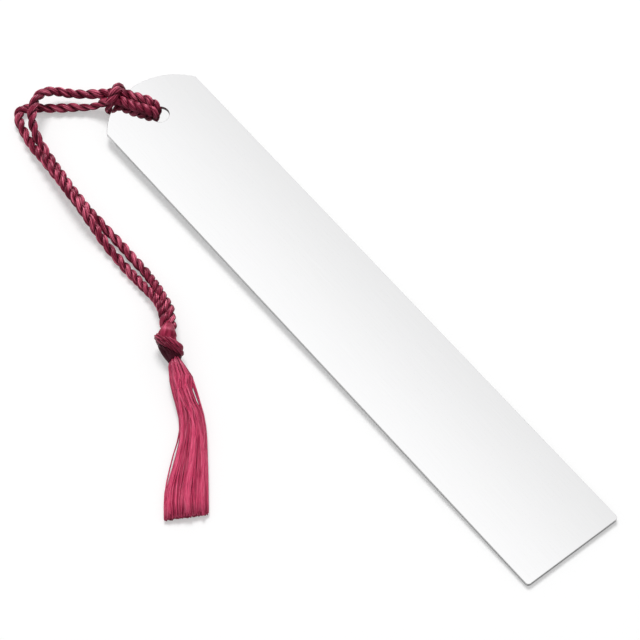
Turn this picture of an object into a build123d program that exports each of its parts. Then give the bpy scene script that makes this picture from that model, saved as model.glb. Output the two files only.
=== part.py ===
"""Metal bookmark with a twisted cord and a tassel, lying on a table.

Millimetres, +Z up. The plate lies along Y with its holed end at +Y, and the
origin is under the middle of the plate, on the table. The cord is one length:
it is hitched through the hole, and its two legs end in the tassel's knot.
"""
import math
import os

from build123d import *

# Plate: a flat blank with one square end and one arched end.
plate_length = 152.4
plate_width = 25.4
plate_thickness = 1.0
arch_rise = 6.6
corner_radius = 0.8
edge_break = 0.12
hole_from_top = 9.9

# Cord: two plies, taken as a round tube of the cord's mean width.
cord_diameter = 1.7
cord_gap = 0.12
hole_play = 0.8

# Hitch: the loop that goes through the hole and round the arched end.
hitch_bearing = 29.5
hitch_reach = 10.8
exit_reach = 13.4
collar_reach = 11.2
collar_half_width = 2.7
collar_foot_out = 1.2
collar_foot_half_width = 4.7
foot_bend_radius = 1.5
collar_bend_radius = 1.7

# Tassel: a knot of floss with a skirt of loose strands below it.
knot_length = 7.6
knot_top_radius = 1.95
knot_belly_radius = 2.65
knot_neck_radius = 1.5
knot_axis_across = -1.4
wrap_ring_radius = 2.3
wrap_radius = 0.95
wrap_tilt = -34.0
wrap_from_neck = 2.9
neck_offset = 0.6
neck_length = 3.0
root_length = 1.6
root_rim = 0.18
skirt_length = 38.8
strands_across = 11
strand_layers = 4
strand_fill = 0.8
skirt_rest = 0.08
end_run = 4.0

# Where the tassel's neck lies from the hole, and the way its skirt points.
tassel_x = -36.4
tassel_y = -52.9
tassel_dir_x = -0.562
tassel_dir_y = -0.827

# Route of each leg from the hitch to the tassel: x and y from the hole, and
# the cord's height above the table in cord diameters.
leg_a_points = [
    (-9.4, 14.1, 1.55),
    (-12.9, 17.7, 1.32),
    (-15.8, 20.9, 1.24),
    (-18.5, 21.8, 1.2),
    (-20.9, 20.1, 1.15),
    (-23.0, 17.8, 0.9),
    (-24.6, 14.6, 0.6),
    (-25.8, 10.2, 0.44),
    (-26.6, 4.9, 0.36),
    (-27.3, -1.5, 0.38),
    (-27.9, -8.1, 0.38),
    (-27.9, -14.0, 0.38),
    (-27.45, -19.7, 0.36),
    (-27.3, -25.5, 0.38),
    (-27.4, -31.2, 0.42),
    (-27.85, -36.0, 0.58),
    (-28.8, -40.0, 0.85),
]
leg_b_points = [
    (-10.7, 11.6, 1.28),
    (-14.0, 14.7, 0.66),
    (-17.6, 18.0, 0.18),
    (-20.9, 20.9, 0.04),
    (-23.7, 22.5, 0.04),
    (-25.9, 20.3, 0.05),
    (-27.0, 16.6, 0.15),
    (-27.6, 12.2, 0.4),
    (-28.0, 6.9, 0.8),
    (-28.65, 0.7, 1.04),
    (-29.25, -5.3, 1.06),
    (-29.8, -11.3, 0.98),
    (-30.3, -16.9, 0.8),
    (-30.5, -22.5, 0.66),
    (-30.5, -27.9, 0.62),
    (-30.55, -33.1, 0.72),
    (-30.85, -37.7, 0.92),
]

cord_radius = cord_diameter / 2
knot_axis_height = wrap_ring_radius + wrap_radius + skirt_rest
hole_diameter = 2 * cord_diameter + hole_play
hole_y = plate_length / 2 - hole_from_top
arch_radius = (plate_width**2 / 4 + arch_rise**2) / (2 * arch_rise)

# The cord runs one radius and a gap clear of the plate's faces. Under the
# plate it lies on the table, so the plate leans on it.
run_height = plate_thickness / 2 + cord_gap + cord_radius
lean_rise = run_height + cord_radius - plate_thickness / 2
lean = math.degrees(math.asin(lean_rise / (hole_y + plate_length / 2)))

on_table = Pos(0, -plate_length / 2, 0) * Rot(X=lean) * Pos(0, plate_length / 2, plate_thickness / 2)
hitch_frame = on_table * Pos(0, hole_y, 0) * Rot(Z=90 + hitch_bearing)


def place(frame, point):
    """The point of a local frame, as a point of the part."""
    return (frame * Pos(*point)).position


def middle(start, end):
    return (start + end) * 0.5


def turn_at(points, i):
    """Degrees by which a route turns at its point i."""
    return (points[i] - points[i - 1]).get_angle(points[i + 1] - points[i])


def widest_radius(points, i):
    """The largest tangent arc that the two runs beside point i allow."""
    shorter = min((points[i] - points[i - 1]).length, (points[i + 1] - points[i]).length)
    return 0.45 * shorter / math.tan(math.radians(turn_at(points, i) / 2))


def tube(name, points, radii):
    """A round tube along straight runs joined by tangent arcs."""
    if len(points) > 2:
        path = FilletPolyline(*points, radius=radii)
    else:
        path = Line(*points)
    start = Plane(origin=points[0], z_dir=points[1] - points[0])
    solid = sweep(start * Circle(cord_radius), path=path)
    ideal = math.pi * cord_radius**2 * path.length
    print(f"{name}: length {path.length:.1f}, volume over section times length {solid.volume / ideal:.4f}")
    print("  radii", [round(r, 2) for r in radii])
    return solid


# Plate
shoulder_y = plate_length / 2 - arch_rise
outline = Polyline(
    (-plate_width / 2, shoulder_y),
    (-plate_width / 2, -plate_length / 2),
    (plate_width / 2, -plate_length / 2),
    (plate_width / 2, shoulder_y),
)
arch = ThreePointArc(
    (plate_width / 2, shoulder_y), (0, plate_length / 2), (-plate_width / 2, shoulder_y)
)
blank = make_face(outline + arch)
square_corners = blank.vertices().sort_by(Axis.Y)[:2]
blank = fillet(square_corners, corner_radius)
blank -= Pos(0, hole_y) * Circle(hole_diameter / 2)
plate = extrude(blank, plate_thickness / 2, both=True)
face_edges = plate.faces().sort_by(Axis.Z)[0].edges() + plate.faces().sort_by(Axis.Z)[-1].edges()
plate = fillet(face_edges, edge_break)
plate = on_table * plate

# Hitch: over the plate, down the hole, under the plate to the arched edge,
# over both legs as a collar, and back the same way.
leg_half_gap = cord_radius + cord_gap / 2
pass_reach = 0.55
collar_height = run_height + cord_diameter + cord_gap
foot_reach = collar_reach + collar_foot_out
half_hitch = [
    (hitch_reach, leg_half_gap, run_height),
    (pass_reach, leg_half_gap, run_height),
    (pass_reach, leg_half_gap, -run_height),
    (foot_reach, collar_foot_half_width, -run_height),
    (collar_reach, collar_half_width, collar_height),
]
side_a = [(u, -v, w) for u, v, w in half_hitch]
side_b = [(u, v, w) for u, v, w in reversed(half_hitch)]
hitch_points = [place(hitch_frame, p) for p in side_a + side_b]
fold_radius = 0.97 * run_height
half_radii = [fold_radius, fold_radius, foot_bend_radius, collar_bend_radius]
hitch_radii = half_radii + half_radii[::-1]

# Tassel frame: +X along the skirt, +Y across it towards the plate, Z up, from the neck.
tassel_bearing = math.degrees(math.atan2(tassel_dir_y, tassel_dir_x))
tassel_frame = Pos(tassel_x, tassel_y + hole_y, 0) * Rot(Z=tassel_bearing)


def leg_route(points, hole_corner, side):
    """The whole route of one leg, from the hole to the knot's top."""
    route = [hole_corner, place(hitch_frame, (exit_reach, -side * leg_half_gap, run_height))]
    for dx, dy, lift in points:
        route.append(Vector(dx, dy + hole_y, cord_radius + lift * cord_diameter))
    across = knot_axis_across + side * leg_half_gap
    route.append(place(tassel_frame, (-knot_length - end_run, across, knot_axis_height)))
    route.append(place(tassel_frame, (-knot_length, across, knot_axis_height)))
    return route


cord_parts = {}
cord_parts["cord_hitch"] = tube("cord_hitch", hitch_points, hitch_radii)
leg_ends = {
    "a": (leg_a_points, hitch_points[0], hitch_points[1], 1),
    "b": (leg_b_points, hitch_points[-1], hitch_points[-2], -1),
}
for leg, (points, hitch_end, hole_corner, side) in leg_ends.items():
    route = leg_route(points, hole_corner, side)
    radii = [widest_radius(route, i) for i in range(1, len(route) - 1)]
    bend_end = middle(route[2], route[3])
    end_start = middle(route[-4], route[-3])
    cord_parts[f"cord_bend_{leg}"] = tube(
        f"cord_bend_{leg}", [hitch_end] + route[1:3] + [bend_end], radii[:2]
    )
    cord_parts[f"cord_leg_{leg}"] = tube(
        f"cord_leg_{leg}", [bend_end] + route[3:-3] + [end_start], radii[2:-2]
    )
    cord_parts[f"cord_end_{leg}"] = tube(f"cord_end_{leg}", [end_start] + route[-3:], radii[-2:])

# Knot: a floss bulb with one wrap lying aslant round it.
knot_frame = tassel_frame * Pos(0, knot_axis_across, knot_axis_height)
knot_side = ThreePointArc(
    (-knot_length, knot_top_radius),
    (-knot_length / 2, knot_belly_radius),
    (0, knot_neck_radius),
)
knot_half = make_face(
    knot_side
    + Polyline((0, knot_neck_radius), (0, 0), (-knot_length, 0), (-knot_length, knot_top_radius))
)
bulb = revolve(knot_half, Axis.X)
wrap = Pos(-wrap_from_neck, 0, 0) * Rot(Z=wrap_tilt) * Rot(Y=90) * Torus(wrap_ring_radius, wrap_radius)
tassel_knot = knot_frame * (bulb + wrap)

# Skirt: strands in layers, which leave the neck in a bundle, drop to the
# table, bow to one side and spread towards their ends.
skirt_stations = [0.0, 0.16, 0.34, 0.5, 0.7, 1.0]
skirt_middle = [0.3, 1.6, 2.5, 2.2, 0.9, -0.3]
skirt_half_width = [1.8, 2.35, 2.75, 3.3, 4.5, 4.8]
skirt_floor = [1.3, 0.6, 0.0, 0.0, 0.0, 0.0]
skirt_height = [3.2, 3.2, 3.2, 3.0, 2.6, 2.2]


def strand_section(station, across, layer):
    """The corners of one strand's section at one station of the skirt."""
    reach = neck_length + (skirt_length - neck_length) * skirt_stations[station]
    if station == len(skirt_stations) - 1:
        reach += 0.5 * math.sin(5 * across + 2 * layer)
    corners = []
    for du, dw in ((-1, -1), (1, -1), (1, 1), (-1, 1)):
        u = (2 * across + 1 + du * strand_fill) / strands_across - 1
        w = (layer + 0.5 + 0.5 * dw * strand_fill) / strand_layers
        crown = math.sqrt(1 - 0.72 * u**2)
        y = skirt_middle[station] + skirt_half_width[station] * u
        z = skirt_rest + skirt_floor[station] + skirt_height[station] * crown * w
        corners.append(Vector(reach, y, z))
    return corners


def strand(across, layer):
    sections = []
    for station in range(len(skirt_stations)):
        sections.append(Polyline(*strand_section(station, across, layer), close=True))
    return loft([make_face(section) for section in sections], ruled=True)


root_mid_height = skirt_rest + skirt_floor[0] + skirt_height[0] / 2
root_section = RectangleRounded(
    2 * (skirt_half_width[0] + root_rim), skirt_height[0] + 2 * root_rim, skirt_half_width[0] * 0.8
)
root_start = Plane(
    origin=(neck_length - root_length / 2, skirt_middle[0], root_mid_height), x_dir=(0, 1, 0), z_dir=(1, 0, 0)
)
root = extrude(root_start * root_section, root_length)
strands = [strand(i, j) for i in range(strands_across) for j in range(strand_layers)]
tassel_skirt = tassel_frame * root.fuse(*strands)

# Neck: the floss between the knot and the skirt's root.
neck_top = Plane(
    origin=(0, knot_axis_across + neck_offset, knot_axis_height), x_dir=(0, 1, 0), z_dir=(1, 0, 0)
)
neck_section = Circle(knot_neck_radius)
neck = loft([neck_top * neck_section, root_start * Circle(knot_neck_radius)], ruled=True)
tassel_neck = tassel_frame * neck

nodes = {"plate": plate, **cord_parts}
nodes["tassel_knot"] = tassel_knot
nodes["tassel_neck"] = tassel_neck
nodes["tassel_skirt"] = tassel_skirt

os.makedirs("parts", exist_ok=True)
for name, shape in nodes.items():
    export_step(shape, os.path.join("parts", f"{name}.step"))
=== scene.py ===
# %% [markdown]
# A metal bookmark lies on a white table. A twisted crimson cord is hitched
# through its hole, and the cord's two legs end in a knot of floss with a
# tassel skirt below it. The solid model gives every place and size. This
# script loads it as a fixed frame and dresses it: the plate keeps its solid
# and gets a polished finish, and the cord, the knot and the skirt are made
# again from strands.

# %% Load the solid model
import math
import random

import bmesh
import bpy
from mathutils import Matrix, Vector
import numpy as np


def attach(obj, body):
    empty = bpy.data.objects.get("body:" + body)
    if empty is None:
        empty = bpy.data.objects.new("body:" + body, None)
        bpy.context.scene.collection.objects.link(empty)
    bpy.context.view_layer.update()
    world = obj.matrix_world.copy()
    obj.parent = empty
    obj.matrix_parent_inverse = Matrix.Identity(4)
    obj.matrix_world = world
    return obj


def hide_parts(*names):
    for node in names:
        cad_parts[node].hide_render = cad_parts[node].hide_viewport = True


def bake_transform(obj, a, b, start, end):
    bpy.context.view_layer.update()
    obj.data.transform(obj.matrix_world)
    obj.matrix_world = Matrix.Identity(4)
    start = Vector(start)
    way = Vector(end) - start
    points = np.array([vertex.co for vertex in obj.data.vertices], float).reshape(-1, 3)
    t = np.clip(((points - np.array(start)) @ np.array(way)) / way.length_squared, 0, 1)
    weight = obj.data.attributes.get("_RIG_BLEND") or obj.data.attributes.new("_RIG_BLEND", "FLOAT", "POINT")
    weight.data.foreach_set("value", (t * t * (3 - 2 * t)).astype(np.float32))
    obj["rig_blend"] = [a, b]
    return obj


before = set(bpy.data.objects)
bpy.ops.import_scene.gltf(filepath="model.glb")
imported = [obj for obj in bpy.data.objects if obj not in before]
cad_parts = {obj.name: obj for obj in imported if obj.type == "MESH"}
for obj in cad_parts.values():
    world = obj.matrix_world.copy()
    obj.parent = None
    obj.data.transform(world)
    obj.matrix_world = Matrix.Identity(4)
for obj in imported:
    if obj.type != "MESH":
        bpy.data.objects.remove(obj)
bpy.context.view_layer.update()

scene = bpy.context.scene
scene.view_settings.view_transform = "Standard"


def in_mm(place):
    """A place in metres, as rounded millimetres to print."""
    return [round(1000 * x, 1) for x in place]


# %% [markdown]
# The photograph was taken from above the square end, a little to the left,
# with a long lens. Fitting the plate's four corners gave the eye, the aim and
# the lens, so the camera is written down as those numbers. A long lens keeps
# the plate's sides almost parallel.

# %% Camera
MM = 0.001
camera_data = bpy.data.cameras.new("camera")
camera_data.sensor_width = 36
camera_data.lens = 191.25
camera_data.clip_start = 0.05
camera_data.clip_end = 20
camera = bpy.data.objects.new("camera", camera_data)
scene.collection.objects.link(camera)
eye = Vector((-249.724, -299.290, 638.615)) * MM
aim = Vector((-5.170, 2.245, 0.0)) * MM
camera.location = eye
camera.rotation_euler = (aim - eye).to_track_quat("-Z", "Y").to_euler()
scene.camera = camera
print("camera", round((aim - eye).length, 3), "m from its aim")

# %% [markdown]
# The cord is one length. It comes up one leg, runs over the plate and down the
# hole, goes under the plate to the arched edge and up over itself as a collar,
# and returns the same way to the other leg. Its line is a smooth spline with
# the route's corners as control points. A leg's point gives x and y from the
# hole, in millimetres, and the height off the table in cord diameters. The
# hitch is easiest to give in a frame of its own at the hole: the first number
# runs out over the arched edge, the second across it, and the third stands off
# the plate's middle plane. The legs' heights were set by where their shadows
# fall in the photograph.

# %% The frames that the cord is measured in
plate_length = 152.4
plate_thickness = 1.0
hole = Vector((0.0, 66.3, 0.0))
lean = math.radians(0.7318)
on_table = (
    Matrix.Translation((0, -plate_length / 2, 0))
    @ Matrix.Rotation(lean, 4, "X")
    @ Matrix.Translation((0, plate_length / 2, plate_thickness / 2))
)
hitch_bearing = math.radians(90 + 29.5)
hitch_frame = on_table @ Matrix.Translation(hole) @ Matrix.Rotation(hitch_bearing, 4, "Z")
to_hitch = hitch_frame.inverted()
tassel_neck = (-36.4, 13.4, 0)
tassel_bearing = math.atan2(-0.827, -0.562)
tassel_frame = Matrix.Translation(tassel_neck) @ Matrix.Rotation(tassel_bearing, 4, "Z")
cord_diameter = 1.7
rope_lift = 0.1
print("hole at", [round(x, 2) for x in on_table @ hole], "mm, tassel neck at", tassel_neck, "mm")

# %% The cord's route, from one leg's knot end to the other's
leg_a = [
    (-9.3, 14.2, 1.35), (-12.6, 18.0, 0.85), (-15.95, 20.75, 1.5), (-19.1, 20.5, 2.3),
    (-21.7, 18.55, 2.7), (-23.9, 16.65, 2.3), (-25.2, 13.85, 1.5), (-26.0, 9.95, 0.75),
    (-26.6, 4.9, 0.36), (-27.3, -1.5, 0.38), (-27.9, -8.1, 0.38), (-27.9, -14.0, 0.38),
    (-27.7, -19.55, 0.15), (-27.75, -25.25, 0.08), (-27.9, -31.0, 0.15), (-28.5, -36.0, 0.58),
    (-29.4, -40.2, 0.85),
]
leg_b = [
    (-10.2, 11.9, 0.3), (-13.65, 15.0, 0.05), (-17.6, 18.0, 0.04), (-20.9, 20.9, 0.04),
    (-23.5, 22.3, 0.04), (-25.4, 20.0, 0.05), (-26.5, 16.2, 0.15), (-27.35, 12.0, 0.4),
    (-27.7, 6.9, 0.95), (-28.4, 0.6, 1.32), (-29.15, -5.6, 1.56), (-29.7, -11.55, 1.44),
    (-30.1, -16.65, 0.55), (-30.35, -22.0, 0.05), (-30.45, -27.4, 0.02), (-30.45, -32.65, 0.15),
    (-30.45, -37.7, 0.55),
]
hitch_a = [
    (13.6, 0.0, 1.55), (9.9, -1.6, 1.6), (6.6, -1.55, 1.6), (3.3, -1.75, 1.6), (1.1, -0.95, 1.5),
    (1.1, -0.95, -1.45), (3.4, -1.9, -1.45), (6.6, -3.0, -1.45), (11.0, -3.7, -1.45), (11.2, -2.1, 3.0),
]
hitch_b = [
    (13.2, 2.05, 0.8), (10.2, 0.5, 1.5), (6.6, 0.75, 1.6), (3.2, 0.6, 1.6), (0.75, 0.65, 1.5),
    (0.75, 0.65, -1.45), (3.3, 1.0, -1.45), (7.4, 2.0, -1.45), (12.2, 2.95, -1.45), (11.15, 1.25, 3.05),
]
knot_entry = [(-11.6, 0.8, 3.33), (-7.0, 0.72, 3.4)]
knot_middle = -1.2


def on_leg(points):
    return [hole + Vector((x, y, cord_diameter * (0.5 + lift) + rope_lift)) for x, y, lift in points]


def on_hitch(points):
    return [hitch_frame @ Vector(point) for point in points]


def into_knot(points, side):
    return [tassel_frame @ Vector((along, knot_middle + side * across, up)) for along, across, up in points]


route = into_knot(knot_entry, 1)[::-1] + on_leg(leg_a)[::-1] + on_hitch(hitch_a)
route += on_hitch(hitch_b)[::-1] + on_leg(leg_b) + into_knot(knot_entry, -1)
route = [point * MM for point in route]
print("route of", len(route), "control points")

# %% The cord's smooth line
def smooth_line(name, points, resolution):
    """The points of a NURBS line that has these control points."""
    curve = bpy.data.curves.new(name, "CURVE")
    curve.dimensions = "3D"
    spline = curve.splines.new("NURBS")
    spline.points.add(len(points) - 1)
    for control, point in zip(spline.points, points):
        control.co = (*point, 1.0)
    spline.order_u = 3
    spline.use_endpoint_u = True
    spline.resolution_u = resolution
    holder = bpy.data.objects.new(name, curve)
    line = bpy.data.meshes.new_from_object(holder)
    found = [vertex.co.copy() for vertex in line.vertices]
    bpy.data.objects.remove(holder)
    bpy.data.curves.remove(curve)
    bpy.data.meshes.remove(line)
    return found


def lengths_along(points):
    total = [0.0]
    for before, after in zip(points, points[1:]):
        total.append(total[-1] + (after - before).length)
    return total


cord_line = smooth_line("cord_line", route, resolution=14)
cord_reach = lengths_along(cord_line)
print("cord line of", len(cord_line), "points,", round(1000 * cord_reach[-1], 1), "mm long")

# %% [markdown]
# A strand is a ring of points drawn along a line. The ring must not spin as
# it goes, so each ring's axes come from the ring before it, turned only as
# much as the line turns. The helper starts from a bmesh circle and extrudes
# its edge ring by ring. At every point it notes where that point would be if
# the strand were pulled straight, which way the filaments lie there, and how
# open the point is to light. The finishes read those notes, so their filaments
# follow the strand round every bend.

# %% Rings that don't spin, and the notes on their points
def frames_along(points):
    """One matrix a point: its third axis runs along the line, and the others don't spin."""
    frames = []
    side = None
    for i, point in enumerate(points):
        ahead = points[min(i + 1, len(points) - 1)] - points[max(i - 1, 0)]
        ahead.normalize()
        if side is None:
            side = ahead.orthogonal()
        side = (side - ahead * side.dot(ahead)).normalized()
        over = ahead.cross(side)
        turn = Matrix((side, over, ahead)).transposed().to_4x4()
        frames.append(Matrix.Translation(point) @ turn)
    return frames


def strand_notes(mesh):
    """The notes at every point: place on the straight strand, filaments' way, openness to light."""
    ways, open_to_light = mesh.verts.layers.float_vector, mesh.verts.layers.float
    return (
        ways.get("strand") or ways.new("strand"),
        ways.get("lay") or ways.new("lay"),
        open_to_light.get("exposure") or open_to_light.new("exposure"),
    )


print("cord line gives", len(frames_along(cord_line)), "frames")

# %% Draw a strand and finish a piece
def ordered_ring(edges, before):
    """The new ring's points in the order of the ring that they grew from."""
    fresh = {vertex for edge in edges for vertex in edge.verts}
    ordered = []
    for vertex in before:
        for edge in vertex.link_edges:
            other = edge.other_vert(vertex)
            if other in fresh:
                ordered.append(other)
    return ordered


def draw_strand(mesh, rings, lengths, outline, straight_size, open_at, lays, spins):
    """Extrudes a closed outline through the rings, spun back by each ring's spin, and caps both ends."""
    note, lay, exposure = strand_notes(mesh)
    ring = bmesh.ops.create_circle(mesh, cap_ends=False, segments=len(outline), radius=1.0)["verts"]
    edges = list({edge for vertex in ring for edge in vertex.link_edges})
    bmesh.ops.contextual_create(mesh, geom=ring)
    for step, (matrix, length, way, spin) in enumerate(zip(rings, lengths, lays, spins)):
        if step:
            grown = bmesh.ops.extrude_edge_only(mesh, edges=edges)["geom"]
            edges = [item for item in grown if isinstance(item, bmesh.types.BMEdge) and item.is_boundary]
            ring = ordered_ring(edges, ring)
        for vertex, (x, y) in zip(ring, outline):
            spun = Matrix.Rotation(-spin, 2) @ Vector((x, y))
            vertex.co = matrix @ spun.to_3d()
            vertex[note] = (x * straight_size, y * straight_size, length)
            vertex[lay] = way
            vertex[exposure] = open_at(spun.x, math.hypot(x, y))
    bmesh.ops.contextual_create(mesh, geom=edges)


def finish_piece(name, mesh, material):
    """Turns a bmesh into a named object with outward faces and smooth shading."""
    bmesh.ops.recalc_face_normals(mesh, faces=mesh.faces)
    for face in mesh.faces:
        face.smooth = True
    data = bpy.data.meshes.new(name)
    mesh.to_mesh(data)
    mesh.free()
    data.materials.append(material)
    piece = bpy.data.objects.new(name, data)
    scene.collection.objects.link(piece)
    print(name, "has", len(data.polygons), "faces")
    return piece


print("made the strand helpers")

# %% [markdown]
# The cord and the floss are the same shiny crimson yarn. The cord is twisted
# hard, so its filaments lie across the light; its colour is painted darker and
# browner for that, as painted shade, and the combed floss of the skirt is paler
# and pinker. Each finish stretches a noise along the straightened strand, so it
# reads as hair-thin filaments, and uses it for the colour, the gloss and a fine
# relief. Satin yarn shines in a band across its filaments, so the gloss is drawn
# out along the noted way. Points that are noted as hidden take a dark shade
# colour: painted shade in creases, under other strands and inside the knot.

# %% Shader nodes with their values
def set_sockets(node, values):
    for socket, value in values.items():
        node.inputs[socket].default_value = value


def add_node(nodes, kind, values, **settings):
    """A new node. Its settings come first, because they can change which sockets it has."""
    node = nodes.new(kind)
    for name, setting in settings.items():
        setattr(node, name, setting)
    set_sockets(node, values)
    return node


def add_ramp(nodes, stops):
    """A colour ramp with these stops, each a position and a colour, the outer two first."""
    ramp = nodes.new("ShaderNodeValToRGB")
    for element, (position, colour) in zip(ramp.color_ramp.elements, stops):
        element.position = position
        element.color = (*colour, 1)
    for position, colour in stops[2:]:
        ramp.color_ramp.elements.new(position).color = (*colour, 1)
    return ramp


filament_stretch = 250
patch_size = 400
patch_share = 0.25
relief_depth = 0.0002
sheen_tint = (1.0, 0.24, 0.4, 1)
print("filament noise runs", filament_stretch, "to the metre along a strand")

# %% Yarn finishes
def yarn_finish(name, deep, middle, pale, shade_colour, fineness, relief, roughness, gloss_level):
    material = bpy.data.materials.new(name)
    material.use_nodes = True
    nodes, links = material.node_tree.nodes, material.node_tree.links
    shader = nodes["Principled BSDF"]
    place = add_node(nodes, "ShaderNodeAttribute", {}, attribute_name="strand")
    openness = add_node(nodes, "ShaderNodeAttribute", {}, attribute_name="exposure")
    lay = add_node(nodes, "ShaderNodeAttribute", {}, attribute_name="lay")
    stretch = add_node(nodes, "ShaderNodeMapping", {"Scale": (fineness, fineness, filament_stretch)})
    filaments = add_node(nodes, "ShaderNodeTexNoise", {"Scale": 1.0, "Detail": 3.0, "Roughness": 0.6})
    patches = add_node(nodes, "ShaderNodeTexNoise", {"Scale": patch_size, "Detail": 2.0})
    shade = add_node(nodes, "ShaderNodeMix", {0: patch_share}, data_type="FLOAT")
    tone = add_ramp(nodes, [(0.38, deep), (0.62, pale), (0.5, middle)])
    # Painted shade: the openness note mixes the dark shade colour into hidden points.
    shade_mix = add_node(nodes, "ShaderNodeMix", {"A": (*shade_colour, 1)}, data_type="RGBA")
    gloss = add_node(nodes, "ShaderNodeMapRange", {"To Min": roughness + 0.1, "To Max": roughness - 0.08})
    bump = add_node(nodes, "ShaderNodeBump", {"Strength": relief, "Distance": relief_depth})
    links.new(place.outputs["Vector"], stretch.inputs["Vector"])
    links.new(stretch.outputs["Vector"], filaments.inputs["Vector"])
    links.new(place.outputs["Vector"], patches.inputs["Vector"])
    links.new(filaments.outputs["Fac"], shade.inputs["A"])
    links.new(patches.outputs["Fac"], shade.inputs["B"])
    links.new(shade.outputs["Result"], tone.inputs["Fac"])
    links.new(openness.outputs["Fac"], shade_mix.inputs["Factor"])
    links.new(tone.outputs["Color"], shade_mix.inputs["B"])
    links.new(shade_mix.outputs["Result"], shader.inputs["Base Color"])
    links.new(filaments.outputs["Fac"], gloss.inputs["Value"])
    links.new(gloss.outputs["Result"], shader.inputs["Roughness"])
    links.new(filaments.outputs["Fac"], bump.inputs["Height"])
    links.new(bump.outputs["Normal"], shader.inputs["Normal"])
    links.new(lay.outputs["Vector"], shader.inputs["Tangent"])
    set_sockets(shader, {"Anisotropic": 0.8, "Anisotropic Rotation": 0.25})
    set_sockets(shader, {"Specular IOR Level": gloss_level, "Specular Tint": sheen_tint})
    return material


# The cord's darker, browner colours are painted shade for filaments that lie across the light.
cord_finish = yarn_finish(
    "cord_yarn",
    deep=(0.07, 0.0018, 0.009),
    middle=(0.265, 0.015, 0.047),
    pale=(0.92, 0.19, 0.3),
    shade_colour=(0.024, 0.0006, 0.0035),
    fineness=3000,
    relief=1.0,
    roughness=0.45,
    gloss_level=0.62,
)
print("made", cord_finish.name)

# %% [markdown]
# Seen close, the cord is two plies twisted round each other to the right,
# one turn every four to five and a half millimetres: tightest where the hitch
# and the knot grip it, and looser between. Each ply is a little flattened
# where it presses on its neighbour, so its ring is an ellipse, turned with the
# twist. A ply is itself spun from a few yarns, the other way round, so on the
# outside its yarns run nearly straight along the cord. They show as low
# ridges. The cord is fuller in the hitch, and pressed thin where it runs under
# the plate, round the arched edge and through the hole.

# %% A ply's outline
ply_offset = 0.50 * MM
ply_radial = 0.58 * MM
ply_across = 0.64 * MM
lay_pitch = 5.0 * MM
ply_segments = 32
ply_yarns = 8
yarn_ridge = 0.1
ply_outline = []
for k in range(ply_segments):
    angle = 2 * math.pi * k / ply_segments
    swell = 1 + yarn_ridge * math.cos(ply_yarns * angle)
    ply_outline.append((swell * math.cos(angle), swell * math.sin(angle)))


def ply_open(outward, swell):
    """A ply is open to the light on its outer side and on its yarns' tops; its inner side and the grooves
    between its yarns get painted shade.
    """
    return max(0.0, min(1.0, 0.42 + 0.75 * outward)) * (0.78 + 3.2 * (swell - 1))


print("two plies of", ply_yarns, "yarns,", round(2000 * (ply_offset + ply_radial), 2), "mm over both")

# %% Rings of a ply, and even steps along the cord
def ply_rings(frames, turns, sizes, phase):
    """The rings of one ply. Two slow waves make it a little uneven, as spun yarn is."""
    rings = []
    lay = 2 * math.pi * ply_offset / lay_pitch
    for matrix, turn, size in zip(frames, turns, sizes):
        turn += phase
        out = Vector((math.cos(turn), math.sin(turn), 0))
        round_way = Vector((-math.sin(turn), math.cos(turn), 0))
        ahead = (Vector((0, 0, 1)) + round_way * lay).normalized()
        across = ahead.cross(out)
        full = size + 0.07 * math.sin(0.83 * turn + 2 * phase) + 0.06 * math.sin(0.31 * turn + phase)
        ply = Matrix((out * ply_radial * full, across * ply_across * full, ahead * MM)).transposed().to_4x4()
        rings.append(matrix @ Matrix.Translation(out * ply_offset * size) @ ply)
    return rings


def even_points(points, lengths, spacing):
    """Points at an even spacing on a line that is already smooth."""
    count = round(lengths[-1] / spacing)
    even, i = [], 0
    for k in range(count + 1):
        target = lengths[-1] * k / count
        while i < len(points) - 2 and lengths[i + 1] < target:
            i += 1
        share = (target - lengths[i]) / (lengths[i + 1] - lengths[i])
        even.append(points[i].lerp(points[i + 1], share))
    return even


rope_spacing = 0.3 * MM
rope_points = even_points(cord_line, cord_reach, rope_spacing)
rope_lengths = lengths_along(rope_points)
rope_frames = frames_along(rope_points)
rope_middle = rope_lengths[-1] / 2
print("rope of", len(rope_points), "rings a ply")

# %% How tight and how full the cord is along its length
hitch_pitch = 4.0 * MM
leg_pitch = 5.4 * MM
end_pitch = 4.4 * MM
hitch_reach = 34 * MM
end_reach = 17 * MM
full_reach = 36 * MM
full_fade = 6 * MM
hitch_fullness = 0.1
pitch_play = 0.2
short_wave = 2.9 * MM
long_wave = 7.3 * MM
pressed_height = 0.6
pressed_size = 0.76
pressed_spread = 5
rope_turns, rope_sizes = [0.0], [1.0]
for before, after in zip(rope_lengths, rope_lengths[1:]):
    from_hitch = abs(after - rope_middle)
    from_end = rope_middle - from_hitch
    pitch = hitch_pitch if from_hitch < hitch_reach else end_pitch if from_end < end_reach else leg_pitch
    pitch *= 1 + pitch_play * math.sin(after / short_wave) * math.sin(after / long_wave)
    rope_turns.append(rope_turns[-1] + 2 * math.pi * (after - before) / pitch)
    fullness = max(0.0, min(1.0, (full_reach - from_hitch) / full_fade))
    rope_sizes.append(1.0 + hitch_fullness * fullness)
off_plate = [(to_hitch @ (point / MM)).z for point in rope_points]
pressed = []
for height, size in zip(off_plate, rope_sizes):
    pressed.append(pressed_size if height < pressed_height and size > 1 else size)
for i in range(pressed_spread, len(pressed) - pressed_spread):
    near = pressed[i - pressed_spread:i + pressed_spread + 1]
    rope_sizes[i] = sum(near) / len(near)
print("twist of", round(rope_turns[-1] / (2 * math.pi), 1), "turns")

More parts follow.
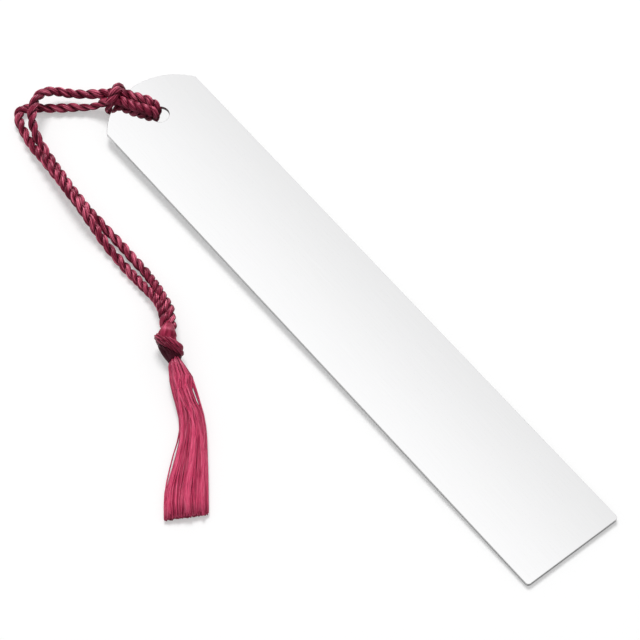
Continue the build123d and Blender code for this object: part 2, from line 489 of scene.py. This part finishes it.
# %% [markdown]
# The plies are made along the whole line at once and then cut into three
# pieces, so that the twist runs through. Three pieces are needed because the
# cord crosses two joints, and one piece can bend across one joint only. The
# cord's colour is painted darker along the hitch, as painted shade, and
# darkest on the side that lies on the plate, where little light gets in. That
# painted shade is written into the note on openness.

# %% The three pieces of the cord
# How much the hitch's painted shade darkens the cord, and how far that reaches.
hitch_shade = 0.84
free_gain = 0.18
hitch_shade_reach = 48 * MM
hitch_shade_fade = 10 * MM
shaded_height = 1.7
straight_ply = 0.6 * MM


def nearest(point):
    return min(range(len(rope_points)), key=lambda i: (rope_points[i] - point).length)


def lies_on_plate(out_over, across, off):
    """Whether a place in the hitch's frame, in millimetres, is in the shade just above the plate."""
    return -2 < out_over < 12 and abs(across) < 4 and 0 < off < shaded_height


def rope_piece(name, first, last):
    mesh = bmesh.new()
    for phase in (0.0, math.pi):
        rings = ply_rings(rope_frames[first:last], rope_turns[first:last], rope_sizes[first:last], phase)
        ways = [frame_here.to_3x3() @ Vector((0, 0, 1)) for frame_here in rope_frames[first:last]]
        turns = [turn + phase for turn in rope_turns[first:last]]
        draw_strand(mesh, rings, rope_lengths[first:last], ply_outline, straight_ply, ply_open, ways, turns)
    note, _, exposure = strand_notes(mesh)
    # Painted shade: darker along the hitch, and darker still just above the plate.
    for vertex in mesh.verts:
        from_hitch = abs(vertex[note].z - rope_middle)
        freed = max(0.0, min(1.0, (from_hitch - hitch_shade_reach) / hitch_shade_fade))
        vertex[exposure] *= hitch_shade + free_gain * freed
        out_over, across, off = to_hitch @ (vertex.co / MM)
        if lies_on_plate(out_over, across, off):
            vertex[exposure] *= off / shaded_height
    return finish_piece(name, mesh, cord_finish)


split_a = nearest(on_leg(leg_a)[2] * MM)
split_b = nearest(on_leg(leg_b)[2] * MM)
leg_rope_a = rope_piece("cord_leg_rope_a", 0, split_a + 1)
hitch_rope = rope_piece("cord_hitch_rope", split_a, split_b + 1)
leg_rope_b = rope_piece("cord_leg_rope_b", split_b, len(rope_points))

# %% What the cord replaces and how it moves
hitch_cut = hitch_frame @ Vector((10.8, 0, 1.5)) * MM
bend_past = (hole + Vector((-14.0, 16.6, 3.4))) * MM
swing_start = tassel_frame @ Vector((-13.6, -1.4, 3.3)) * MM
swing_end = tassel_frame @ Vector((-8.0, -1.4, 3.3)) * MM
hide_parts("cord_hitch", "cord_bend_a", "cord_bend_b")
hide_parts("cord_leg_a", "cord_end_a")
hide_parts("cord_leg_b", "cord_end_b")
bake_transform(hitch_rope, "hitch", "legs", start=hitch_cut, end=bend_past)
for leg_rope in (leg_rope_a, leg_rope_b):
    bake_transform(leg_rope, "legs", "knot", start=swing_start, end=swing_end)
print("cord of three pieces, cut at", in_mm(rope_points[split_a]), "and", in_mm(rope_points[split_b]), "mm")

# %% [markdown]
# The knot is an overhand knot in a thick bundle of floss. Above it the two legs
# lose their twist and swell into one smooth bulge. Round that goes the knot's
# own turn, as strands side by side: from a knuckle on the left, down over the
# front to two knobs on the right, and back underneath. Each strand is drawn
# along its own line, with ridges on its outline for its yarns. A core and a
# filler on the left are in deep shade inside the turn, and that shade is
# painted into their colour, as it is on the lower strands of the turn and
# between the ridges.

# %% A bundle of floss
ridge_segments = 64


def ridged_outline(ridges, depth):
    outline = []
    for k in range(ridge_segments):
        angle = 2 * math.pi * k / ridge_segments
        swell = 1 + depth * (math.cos(ridges * angle) + 0.6 * math.sin(5 * angle))
        outline.append((swell * math.cos(angle), swell * math.sin(angle)))
    return outline


def draw_bundle(mesh, control_points, radii, turns, openness, outline, grain):
    """A bundle along a smooth line. The radii are spread evenly along it."""
    controls = [tassel_frame @ Vector(point) * MM for point in control_points]
    points = smooth_line("bundle_line", controls, resolution=8)
    lengths = lengths_along(points)
    rings, ways, spins = [], [], []
    for matrix, length in zip(frames_along(points), lengths):
        share = length / lengths[-1] * (len(radii) - 1)
        before = min(int(share), len(radii) - 2)
        ease = share - before
        ease = ease * ease * (3 - 2 * ease)
        radius = (radii[before] * (1 - ease) + radii[before + 1] * ease) * MM
        turned = matrix @ Matrix.Rotation(2 * math.pi * turns * length / lengths[-1], 4, "Z")
        rings.append(turned @ Matrix.Diagonal((radius, radius, MM, 1)))
        ways.append(matrix.to_3x3() @ Vector((0, 0, 1)))
        spins.append(0.0)

    # Painted shade: a bundle is darker between its ridges, and as dark as its openness says.
    def bundle_open(outward, swell):
        return openness * (0.93 + 3 * (swell - 1))

    draw_strand(mesh, rings, lengths, outline, grain * MM, bundle_open, ways, spins)
    print("bundle", round(1000 * lengths[-1], 1), "mm long")


smooth_bundle = ridged_outline(21, 0.005)
ridged_bundle = ridged_outline(6, 0.1)
print("bundle outlines of", ridge_segments, "points")

# %% Knot of floss
knot_mesh = bmesh.new()
bulge_route = [
    (-8.4, -1.2, 3.3), (-7.2, -1.2, 3.6), (-5.7, -1.45, 4.1), (-4.3, -1.7, 3.8), (-2.8, -1.1, 3.1),
    (-1.6, -0.5, 2.5),
]
core_route = [(-7.6, -1.3, 2.8), (-5.0, -1.6, 2.7), (-2.6, -1.2, 2.7), (-0.6, -0.7, 2.7), (0.8, -0.6, 2.7)]
left_route = [(-5.4, -2.9, 2.9), (-3.6, -2.9, 2.7), (-1.8, -2.3, 2.4), (-0.2, -1.5, 2.3), (1.0, -1.0, 2.4)]
# Openness paints shade: the core and the filler inside the turn are painted almost black.
bulge_open, core_open, left_open = 1.05, 0.04, 0.03
draw_bundle(knot_mesh, bulge_route, (0.8, 1.5, 2.1, 1.75, 0.7), 0.1, bulge_open, smooth_bundle, 0.5)
draw_bundle(knot_mesh, core_route, (0.9, 1.7, 1.8, 1.5, 1.0), 0.1, core_open, smooth_bundle, 0.5)
draw_bundle(knot_mesh, left_route, (0.9, 1.1, 1.0, 0.8), 0.1, left_open, smooth_bundle, 0.5)
turn_routes = [
    [
        (-3.2, -1.6, 1.6), (-4.6, -3.3, 1.8), (-5.0, -4.0, 3.5), (-4.3, -3.3, 4.7), (-3.1, -1.5, 5.2),
        (-2.1, 0.2, 4.7), (-1.8, 1.2, 3.5), (-2.1, 0.9, 2.2), (-3.0, -0.6, 1.5),
    ],
    [
        (-2.6, -1.6, 1.5), (-3.9, -3.3, 1.9), (-4.1, -3.7, 3.3), (-3.3, -3.1, 4.3), (-1.9, -1.6, 4.9),
        (-1.0, 0.2, 4.1), (-0.7, 1.3, 2.9), (-1.2, 0.9, 1.7), (-2.4, -0.4, 1.3),
    ],
    [
        (-2.0, -1.5, 1.5), (-3.2, -2.9, 2.0), (-3.2, -3.3, 2.9), (-2.6, -2.8, 3.5), (-1.3, -1.8, 4.1),
        (-0.3, -0.4, 3.5), (0.0, 0.7, 2.6), (-0.6, 0.6, 1.6), (-1.8, -0.4, 1.4),
    ],
]
turn_radii = (0.66, 0.62, 0.6)
# The lower strands of the turn get more painted shade.
turn_open = (0.8, 0.45, 0.06)
for turn_route, radius, openness in zip(turn_routes, turn_radii, turn_open):
    radii = (0.8 * radius, radius, 0.95 * radius, radius, 0.8 * radius)
    draw_bundle(knot_mesh, turn_route, radii, 1.3, openness, ridged_bundle, 1.2)

# %% Finish of the knot, what it replaces and what it rides on
knot_finish = yarn_finish(
    "knot_floss",
    deep=(0.13, 0.005, 0.018),
    middle=(0.33, 0.024, 0.064),
    pale=(0.62, 0.10, 0.19),
    shade_colour=(0.008, 0.0004, 0.0015),
    fineness=2600,
    relief=0.9,
    roughness=0.5,
    gloss_level=0.5,
)
knot = finish_piece("tassel_knot_floss", knot_mesh, knot_finish)
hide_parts("tassel_knot")
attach(knot, "knot")

# %% [markdown]
# The skirt is a hank of fine yarns cut off square. They start thin inside the
# knot, so that its turn covers their ends, bow towards the plate and spread
# out on the table. Neighbours draw together into yarns, which sway a little,
# and some on top cross over to the other side. One straight blank of a few
# faces is made once and copied for every filament, and each copy is bent by
# moving its rings along that filament's own path. Edges read from the
# photograph, every few millimetres from the knot, say how wide the skirt lies
# and where it bows. The outermost filaments hang away from the rest and leave
# two slits, one on each side.

# %% The shape that the skirt lies in
skirt_length = 38.2
left_edge = [
    (-1, -0.9), (0.4, -1.45), (2.6, -1.9), (5.7, -1.75), (11.8, -0.7), (15.6, -0.15), (19.3, -0.7),
    (22.6, -2.0), (29.5, -4.0), (33.6, -4.8), (40, -5.1),
]
right_edge = [
    (-1, 0.0), (0.4, 0.3), (2.5, 2.0), (4.5, 3.1), (7, 3.6), (9.4, 4.1), (14.3, 5.1), (18.3, 5.35),
    (25, 5.1), (29, 4.95), (40, 4.3),
]
under_side = [(-1, 2.0), (0.4, 1.8), (5, 1.0), (12, 0.2), (18, 0.1), (40, 0.1)]
thickness = [(-1, 1.2), (0.4, 1.6), (2.5, 2.5), (5, 3.2), (12, 3.1), (20, 2.6), (30, 2.0), (40, 1.4)]


def read_off(stations, reach):
    """The value between two stations."""
    for (before, low), (after, high) in zip(stations, stations[1:]):
        if reach <= after:
            share = max(0.0, (reach - before) / (after - before))
            return low + (high - low) * share
    return stations[-1][1]


def smooth_read(stations, reach):
    """The mean of five readings close together, so that it has no corners."""
    return sum(read_off(stations, reach + shift) for shift in (-1.6, -0.8, 0, 0.8, 1.6)) / 5


def hump(reach, start, end):
    """Rises from 0 at start to 1 half-way and falls to 0 at end."""
    if not start < reach < end:
        return 0.0
    return math.sin(math.pi * (reach - start) / (end - start)) ** 2


for station in (0, 10, 20, 30, 38):
    width = smooth_read(right_edge, station) - smooth_read(left_edge, station)
    print(station, "mm down the skirt:", round(width, 1), "mm wide")

# %% One filament's blank
filament_radius = 0.12
filament_spans = 13
filament_blank = bpy.data.meshes.new("filament_blank")
blank_mesh = bmesh.new()
blank_outline = [(1, 0), (0, 1), (-1, 0), (0, -1)]
blank_lengths = [k / filament_spans for k in range(filament_spans + 1)]
blank_rings = [Matrix.Translation((0, 0, length)) for length in blank_lengths]
blank_ways = [Vector((0, 0, 1)) for ring in blank_rings]
blank_spins = [0.0 for ring in blank_rings]


def fully_open(outward, swell):
    return 1.0


draw_strand(blank_mesh, blank_rings, blank_lengths, blank_outline, 1.0, fully_open, blank_ways, blank_spins)
bmesh.ops.recalc_face_normals(blank_mesh, faces=blank_mesh.faces)
blank_mesh.to_mesh(filament_blank)
blank_mesh.free()
print("blank of", len(filament_blank.polygons), "faces")

# %% Lay out the filaments of the skirt
chance = random.Random(7)
filament_rows = 8
filament_columns = 125
filaments = []
for row in range(filament_rows):
    for column in range(filament_columns):
        filaments.append({
            "across": 2 * (column + 0.5 + chance.uniform(-0.5, 0.5)) / filament_columns - 1,
            "up": (row + 0.5 + chance.uniform(-0.5, 0.5)) / filament_rows,
            "start": chance.gauss(0, 0.3),
            "settle": chance.uniform(9, 26),
            "own": chance.uniform(0, 50),
            "cut": chance.uniform(-0.6, 0.3),
            "drift": chance.uniform(-0.05, 0.05),
            "bob": chance.uniform(-0.1, 0.1),
            "tone": chance.uniform(0.0, 0.45),
        })
print(len(filaments), "filaments")

# %% Filaments on top that cross over
# A sweep runs from one place across the skirt to another, between two reaches in millimetres.
sweeps = [(-0.1, -0.8, 2, 15), (-0.55, 0.15, 5, 21), (0.6, 0.0, 1, 17), (0.15, 0.75, 8, 25)]
crossing_count = 88
lane_spread = 0.05
top_row = [filament for filament in filaments if filament["up"] > 1 - 1 / filament_rows]
for number, filament in enumerate(chance.sample(top_row, crossing_count)):
    filament["sweep"] = sweeps[number % len(sweeps)]
    filament["lane"] = chance.gauss(0, lane_spread)
print(crossing_count, "of them cross over in", len(sweeps), "yarns")

# %% Where a filament runs
outermost = 0.965
left_slit = 0.6
right_slit = 1.45
sway_width = 0.055


def clump(across, row_share, reach):
    """Draws neighbours together into yarns: how far this filament moves, and its share of the way
    from its yarn's middle to the gap."""
    yarns = 11 + 4 * row_share
    phase = 2 * math.pi * (yarns * across / 2 + 1.1 * math.sin(4.1 * across + 4 * row_share) + 0.02 * reach)
    return -0.5 / (math.pi * yarns) * math.sin(phase), 0.5 - 0.5 * math.cos(phase)


def filament_across(filament, reach):
    """Its place across the skirt, from -1 on the left to 1, and how far it is from its yarn's middle."""
    loose = max(0.0, 1 - reach / filament["settle"])
    drawn, from_middle = clump(filament["across"], filament["up"], reach)
    inner = 1 - filament["across"] ** 4
    sway = sway_width * math.sin(reach / 4.2 + 8 * filament["across"] + 3 * filament["up"])
    drift = filament["drift"] * math.sin(reach / 7 + filament["own"])
    across = filament["across"] + inner * (drawn + sway + drift)
    across += filament["start"] * loose * loose
    if "sweep" in filament:
        before, after, start, end = filament["sweep"]
        share = max(0.0, min(1.0, (reach - start) / (end - start)))
        across = before + (after - before) * share * share * (3 - 2 * share) + filament["lane"] + sway
        from_middle = min(1.0, abs(filament["lane"]) / 0.12)
    return max(-1.0, min(1.0, across)), from_middle


def filament_place(filament, reach):
    """Where its middle is in the tassel's frame, at one reach from the knot, and how open it is there, which
    paints shade into its colour.
    """
    across, from_middle = filament_across(filament, reach)
    left, right = smooth_read(left_edge, reach), smooth_read(right_edge, reach)
    if filament["across"] > -outermost:
        left += left_slit * hump(reach, 14, 36)
    if filament["across"] < outermost:
        right -= right_slit * hump(reach, 6.0, 13.0)
    y = (left + right) / 2 + (right - left) / 2 * across
    crown = math.sqrt(1 - 0.72 * across * across)
    up = filament["up"] * (1 - 0.12 * from_middle)
    up += filament["bob"] * math.sin(reach / 5 + 2 * filament["own"])
    if abs(filament["across"]) > outermost:
        up = 0.6 + 0.25 * up
    if "sweep" in filament:
        up = 1.02 - 0.1 * from_middle
    z = smooth_read(under_side, reach) + smooth_read(thickness, reach) * crown * up
    # Painted shade: the roots under the knot, the lower rows and the gaps between yarns are darker; the
    # filament's own tone varies at random, more so near the knot.
    near_knot = min(1.0, 0.12 + 0.25 * max(0.0, reach))
    open_here = min(1.0, 0.25 + 0.8 * up) * (1 - 0.25 * from_middle) * near_knot
    open_here *= 1.08 - filament["tone"] * (1 + 0.9 * max(0.0, 1 - reach / 20))
    return Vector((reach, y, max(filament_radius, z))), open_here


middle_of_one = filament_place(filaments[0], skirt_length)[0]
print("the first filament ends at", [round(x, 1) for x in middle_of_one], "mm from the neck")

# %% Bend the filaments and join them
skirt_mesh = bmesh.new()
tucked_in = 0.6
grain_size = 0.13
for filament in filaments:
    begin = len(skirt_mesh.verts)
    skirt_mesh.from_mesh(filament_blank)
    skirt_mesh.verts.ensure_lookup_table()
    note, lay, exposure = strand_notes(skirt_mesh)
    own = filament["own"]
    last = skirt_length - 0.35 * filament["across"] + filament["cut"]
    reaches = [-tucked_in + (last + tucked_in) * k / filament_spans for k in range(filament_spans + 1)]
    places = [filament_place(filament, reach) for reach in reaches]
    for vertex in skirt_mesh.verts[begin:]:
        x, y, share = vertex.co
        k = round(share * filament_spans)
        middle, open_here = places[k]
        way = places[min(k + 1, filament_spans)][0] - places[max(k - 1, 0)][0]
        vertex.co = tassel_frame @ (middle + Vector((0, y * filament_radius, x * filament_radius))) * MM
        vertex[note] = Vector((x * grain_size + own, y * grain_size + 3 * own, reaches[k])) * MM
        vertex[lay] = tassel_frame.to_3x3() @ way.normalized()
        vertex[exposure] = open_here
print("skirt of", len(skirt_mesh.verts), "points")

# %% Finish of the skirt, what it replaces and how it moves
floss_finish = yarn_finish(
    "skirt_floss",
    deep=(0.48, 0.026, 0.095),
    middle=(0.73, 0.083, 0.185),
    pale=(0.87, 0.19, 0.31),
    shade_colour=(0.13, 0.004, 0.019),
    fineness=5000,
    relief=0.4,
    roughness=0.45,
    gloss_level=0.5,
)
skirt = finish_piece("tassel_skirt_floss", skirt_mesh, floss_finish)
lift_start = tassel_frame @ Vector((0, -0.6, 3.2)) * MM
lift_end = tassel_frame @ Vector((3.2, -0.6, 3.2)) * MM
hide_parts("tassel_skirt", "tassel_neck")
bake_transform(skirt, "knot", "skirt", start=lift_start, end=lift_end)

# %% [markdown]
# The three rope pieces are one free cord. Both legs end in the knot, and the
# knot and the skirt hang on the cord.


# %% [markdown]
# The plate is polished metal, close to a mirror, so what it shows is mostly
# the white studio and the cord above it. Real polish isn't perfect: fine
# hairlines run along the plate and faint smears change its gloss. A face that
# looks sideways is painted greyer: a painted reflection of the shaded table
# beside the edge.

# %% Polished plate
def polished_metal():
    material = bpy.data.materials.new("polished_metal")
    material.use_nodes = True
    nodes, links = material.node_tree.nodes, material.node_tree.links
    shader = nodes["Principled BSDF"]
    set_sockets(shader, {"Metallic": 1.0})
    place = nodes.new("ShaderNodeTexCoord")
    along = add_node(nodes, "ShaderNodeMapping", {"Scale": (9000, 60, 9000)})
    hairlines = add_node(nodes, "ShaderNodeTexNoise", {"Scale": 1.0, "Detail": 2.0})
    smears = add_node(nodes, "ShaderNodeTexNoise", {"Scale": 70, "Detail": 4.0})
    gloss = add_node(nodes, "ShaderNodeMapRange", {"From Min": 0.3, "From Max": 0.75})
    set_sockets(gloss, {"To Min": 0.02, "To Max": 0.045})
    tone = add_ramp(nodes, [(0.3, (0.945, 0.945, 0.95)), (0.7, (0.965, 0.965, 0.97))])
    bump = add_node(nodes, "ShaderNodeBump", {"Strength": 0.02, "Distance": 0.00001})
    facing = nodes.new("ShaderNodeSeparateXYZ")
    upward = add_node(nodes, "ShaderNodeMath", {}, operation="ABSOLUTE")
    edge = add_node(nodes, "ShaderNodeMapRange", {"From Min": 0.5, "From Max": 0.9})
    # Painted reflection: sideways faces get a grey base colour, standing for the shaded table that they
    # mirror.
    painted_edge_shade = add_node(nodes, "ShaderNodeMix", {"A": (0.55, 0.55, 0.55, 1)}, data_type="RGBA")
    links.new(place.outputs["Object"], along.inputs["Vector"])
    links.new(place.outputs["Object"], smears.inputs["Vector"])
    links.new(along.outputs["Vector"], hairlines.inputs["Vector"])
    links.new(smears.outputs["Fac"], gloss.inputs["Value"])
    links.new(gloss.outputs["Result"], shader.inputs["Roughness"])
    links.new(hairlines.outputs["Fac"], tone.inputs["Fac"])
    links.new(place.outputs["Normal"], facing.inputs["Vector"])
    links.new(facing.outputs["Z"], upward.inputs[0])
    links.new(upward.outputs["Value"], edge.inputs["Value"])
    links.new(edge.outputs["Result"], painted_edge_shade.inputs["Factor"])
    links.new(tone.outputs["Color"], painted_edge_shade.inputs["B"])
    links.new(painted_edge_shade.outputs["Result"], shader.inputs["Base Color"])
    links.new(hairlines.outputs["Fac"], bump.inputs["Height"])
    links.new(bump.outputs["Normal"], shader.inputs["Normal"])
    return material


plate_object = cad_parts["plate"]
plate_object.data.materials.clear()
plate_object.data.materials.append(polished_metal())
print("plate finished in", plate_object.data.materials[0].name)

# %% [markdown]
# The table is plain and white. The camera sees it partly as plain white, so
# that it stays pale and still keeps the object's shadow. In the photograph the
# table seen through the plate's hole is white, although the plate shades it,
# so a small patch under the hole is shown whiter than the rest.

# %% Floor
floor_mesh = bmesh.new()
bmesh.ops.create_grid(floor_mesh, x_segments=1, y_segments=1, size=3.0)
floor_data = bpy.data.meshes.new("floor")
floor_mesh.to_mesh(floor_data)
floor_mesh.free()
floor = bpy.data.objects.new("floor", floor_data)
scene.collection.objects.link(floor)
floor.location = (0, 0, -0.0002)
print("floor is", round(floor.dimensions.x, 1), "m wide")

# %% White table
seen_through_hole = (0.0009, 0.0672, 0)
patch_white, table_white = 0.9, 0.36
table = bpy.data.materials.new("white_table")
table.use_nodes = True
table_nodes, table_links = table.node_tree.nodes, table.node_tree.links
table_shader = table_nodes["Principled BSDF"]
set_sockets(table_shader, {"Base Color": (0.96, 0.96, 0.96, 1), "Roughness": 0.9, "Specular IOR Level": 0.0})
table_rays = table_nodes.new("ShaderNodeLightPath")
table_place = table_nodes.new("ShaderNodeTexCoord")
seen = add_node(table_nodes, "ShaderNodeMath", {}, operation="MAXIMUM")
white_share = add_node(table_nodes, "ShaderNodeMath", {}, operation="MULTIPLY")
from_patch = add_node(table_nodes, "ShaderNodeVectorMath", {1: seen_through_hole}, operation="DISTANCE")
patch = add_node(table_nodes, "ShaderNodeMapRange", {"From Min": 0.0025, "From Max": 0.0045})
set_sockets(patch, {"To Min": patch_white, "To Max": table_white})
plain_white = add_node(table_nodes, "ShaderNodeEmission", {"Color": (1, 1, 1, 1)})
table_mix = table_nodes.new("ShaderNodeMixShader")
table_links.new(table_rays.outputs["Is Camera Ray"], seen.inputs[0])
table_links.new(table_rays.outputs["Is Transmission Ray"], seen.inputs[1])
table_links.new(table_place.outputs["Object"], from_patch.inputs[0])
table_links.new(from_patch.outputs["Value"], patch.inputs["Value"])
table_links.new(seen.outputs["Value"], white_share.inputs[0])
table_links.new(patch.outputs["Result"], white_share.inputs[1])
table_links.new(white_share.outputs["Value"], table_mix.inputs["Fac"])
table_links.new(table_shader.outputs["BSDF"], table_mix.inputs[1])
table_links.new(plain_white.outputs["Emission"], table_mix.inputs[2])
table_links.new(table_mix.outputs["Shader"], table_nodes["Material Output"].inputs["Surface"])
floor_data.materials.append(table)
print("table is", table_white, "plain white, and", patch_white, "under the hole")

# %% [markdown]
# The world gives the object an even light from all sides. The camera sees it
# white. The mirror sees a studio: white overhead with a slightly darker far
# side, which gives the plate its soft change of tone, and grey strips lower
# down, which only show from other sides and make the plate read as metal
# there.

# %% World
world = bpy.data.worlds.new("studio")
scene.world = world
world.use_nodes = True
world_nodes, world_links = world.node_tree.nodes, world.node_tree.links
background = world_nodes["Background"]
set_sockets(background, {"Color": (1, 1, 1, 1)})
rays = world_nodes.new("ShaderNodeLightPath")
direction = world_nodes.new("ShaderNodeTexCoord")
parts = world_nodes.new("ShaderNodeSeparateXYZ")
world_links.new(direction.outputs["Generated"], parts.inputs["Vector"])


def eased(value, low, high, at_low, at_high):
    node = add_node(world_nodes, "ShaderNodeMapRange", {}, interpolation_type="SMOOTHSTEP")
    set_sockets(node, {"From Min": low, "From Max": high, "To Min": at_low, "To Max": at_high})
    world_links.new(value, node.inputs["Value"])
    return node.outputs["Result"]


def combine(operation, first, second):
    node = add_node(world_nodes, "ShaderNodeMath", {}, operation=operation)
    for socket, value in zip(node.inputs, (first, second)):
        if isinstance(value, float):
            socket.default_value = value
        else:
            world_links.new(value, socket)
    return node.outputs["Value"]


print("world has", len(world_nodes), "nodes to start from")

# %% What the mirror sees, and the even light
even_light = 0.45
first_look = combine("LESS_THAN", rays.outputs["Diffuse Depth"], 0.5)
slant = combine("DIVIDE", parts.outputs["X"], combine("MAXIMUM", parts.outputs["Z"], 0.05))
overhead = eased(slant, 0.358, 0.424, 1.03, 0.835)
far_side = eased(slant, -0.7, 0.34, 0.86, 1.0)
strip_levels = [
    (0.08, 0.22), (0.77, 1), (0.2, 0.9), (0.29, 0.5), (0.38, 1.0), (0.46, 0.55), (0.54, 1.0), (0.62, 0.6),
    (0.7, 0.95),
]
strips = add_ramp(world_nodes, [(height, (level, level, level)) for height, level in strip_levels])
strips.color_ramp.interpolation = "EASE"
world_links.new(parts.outputs["Z"], strips.inputs["Fac"])
mirrored = combine("MULTIPLY", combine("MULTIPLY", overhead, far_side), strips.outputs["Color"])
camera_look = rays.outputs["Is Camera Ray"]
glossy_look = combine("MULTIPLY", rays.outputs["Is Glossy Ray"], first_look)
shown = combine("MAXIMUM", camera_look, combine("MULTIPLY", glossy_look, mirrored))
unseen = combine("SUBTRACT", 1.0, combine("MAXIMUM", camera_look, glossy_look))
strength = combine("ADD", shown, combine("MULTIPLY", unseen, even_light))
world_links.new(strength, background.inputs["Strength"])
print("world gives", even_light, "of white to the object")

# %% [markdown]
# One large lamp from the right gives the soft shadows along the plate's left
# edge, and the mirror doesn't see it. A small one makes the yarn shine. It is
# linked to the yarn pieces alone, so that the plate doesn't mirror it, and it
# adds no light to their plain colour.

# %% Lamps
def soft_lamp(name, place, aim_at, size, power):
    data = bpy.data.lights.new(name, "AREA")
    data.shape = "DISK"
    data.size = size
    data.energy = power
    lamp = bpy.data.objects.new(name, data)
    lamp.location = place
    lamp.rotation_euler = (Vector(aim_at) - Vector(place)).to_track_quat("-Z", "Y").to_euler()
    scene.collection.objects.link(lamp)
    print(name, power, "W")
    return lamp


key_lamp = soft_lamp("key_lamp", (0.87, 1.52, 2.65), (0, 0, 0), size=1.4, power=78.0)
key_lamp.visible_glossy = False
sheen_lamp = soft_lamp("sheen_lamp", (1.4, 1.3, 1.1), (0, 0, 0), size=0.5, power=45.0)
sheen_lamp.visible_diffuse = False
yarn_pieces = bpy.data.collections.new("yarn_pieces")
for piece in (hitch_rope, leg_rope_a, leg_rope_b, knot, skirt):
    yarn_pieces.objects.link(piece)
sheen_lamp.light_linking.receiver_collection = yarn_pieces
